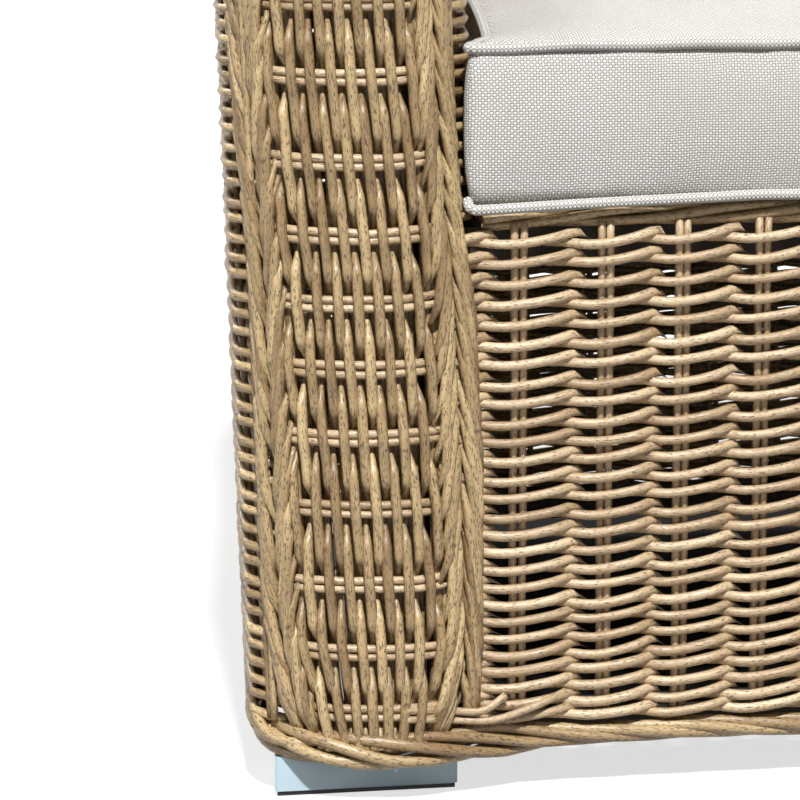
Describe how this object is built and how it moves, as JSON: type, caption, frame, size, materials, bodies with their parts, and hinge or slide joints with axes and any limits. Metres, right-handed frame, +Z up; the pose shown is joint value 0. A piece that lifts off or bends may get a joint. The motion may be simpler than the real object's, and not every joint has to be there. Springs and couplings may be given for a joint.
{
  "type": "rattan garden sofa",
  "caption": "Woven rattan two-seat garden sofa with rounded splayed arms, plaited borders, flat metal feet and cream loose cushions.",
  "frame": {"origin": "on the floor, under the middle of the overall box", "axes": "+Z up, the front faces -Y, +X is the right-hand side seen from the front"},
  "size_m": [1.5702, 0.8364, 0.83],
  "materials": {
    "cane": "satin",
    "frame": "satin",
    "foot": "satin",
    "glide": "matte",
    "cover": "matte",
    "foam": "matte",
    "zip": "satin"
  },
  "bodies": {
    "sofa_frame": {"apron_weave": "cane", "apron_top_border": "cane", "seat_deck_weave": "cane", "back_outer_weave": "cane", "back_inner_weave": "cane", "back_top_weave": "cane", "base_front_border": "cane", "base_rear_border": "cane", "arm_left_outer_weave": "cane", "arm_right_outer_weave": "cane", "arm_left_inner_weave": "cane", "arm_right_inner_weave": "cane", "arm_left_top_weave": "cane", "arm_right_top_weave": "cane", "arm_left_front_weave": "cane", "arm_right_front_weave": "cane", "arm_left_front_border": "cane", "arm_right_front_border": "cane", "base_left_border": "cane", "base_right_border": "cane", "base_front_rail": "frame", "seat_front_rail": "frame", "seat_rear_rail": "frame", "base_rear_rail": "frame", "seat_bearer_1": "frame", "seat_bearer_2": "frame", "seat_bearer_3": "frame", "back_centre_post": "frame", "back_top_rail": "frame", "back_lumbar_rail": "frame", "seat_left_rail": "frame", "seat_right_rail": "frame", "base_left_rail": "frame", "base_right_rail": "frame", "arm_left_front_hoop": "frame", "arm_right_front_hoop": "frame", "arm_left_top_rail": "frame", "arm_right_top_rail": "frame", "back_left_post": "frame", "back_right_post": "frame", "front_left_foot": "foot", "front_right_foot": "foot", "rear_left_foot": "foot", "rear_right_foot": "foot", "front_left_glide": "glide", "front_right_glide": "glide", "rear_left_glide": "glide", "rear_right_glide": "glide"},
    "seat_cushion_left": {"seat_cushion_left_cover": "cover", "seat_cushion_left_core": "foam"},
    "back_cushion_left": {"back_cushion_left_cover": "cover", "back_cushion_left_core": "foam"},
    "seat_zip_left": {"seat_cushion_left_zip_slider": "zip"},
    "back_zip_left": {"back_cushion_left_zip_slider": "zip"},
    "seat_cushion_right": {"seat_cushion_right_cover": "cover", "seat_cushion_right_core": "foam"},
    "back_cushion_right": {"back_cushion_right_cover": "cover", "back_cushion_right_core": "foam"},
    "seat_zip_right": {"seat_cushion_right_zip_slider": "zip"},
    "back_zip_right": {"back_cushion_right_zip_slider": "zip"}
  },
  "joints": [
    {"name": "seat_cushion_left_lift", "type": "slide", "parent": "sofa_frame", "child": "seat_cushion_left", "axis": [0, 0, 1], "range_m": [0, 0.3]},
    {"name": "back_cushion_left_lift", "type": "slide", "parent": "seat_cushion_left", "child": "back_cushion_left", "axis": [0, 0, 1], "range_m": [0, 0.3]},
    {"name": "seat_zip_left_slide", "type": "slide", "parent": "seat_cushion_left", "child": "seat_zip_left", "axis": [-1, 0, 0], "range_m": [0, 0.276]},
    {"name": "back_zip_left_slide", "type": "slide", "parent": "back_cushion_left", "child": "back_zip_left", "axis": [-1, 0, 0], "range_m": [0, 0.276]},
    {"name": "seat_cushion_right_lift", "type": "slide", "parent": "sofa_frame", "child": "seat_cushion_right", "axis": [0, 0, 1], "range_m": [0, 0.3]},
    {"name": "back_cushion_right_lift", "type": "slide", "parent": "seat_cushion_right", "child": "back_cushion_right", "axis": [0, 0, 1], "range_m": [0, 0.3]},
    {"name": "seat_zip_right_slide", "type": "slide", "parent": "seat_cushion_right", "child": "seat_zip_right", "axis": [1, 0, 0], "range_m": [0, 0.276]},
    {"name": "back_zip_right_slide", "type": "slide", "parent": "back_cushion_right", "child": "back_zip_right", "axis": [1, 0, 0], "range_m": [0, 0.276]}
  ]
}
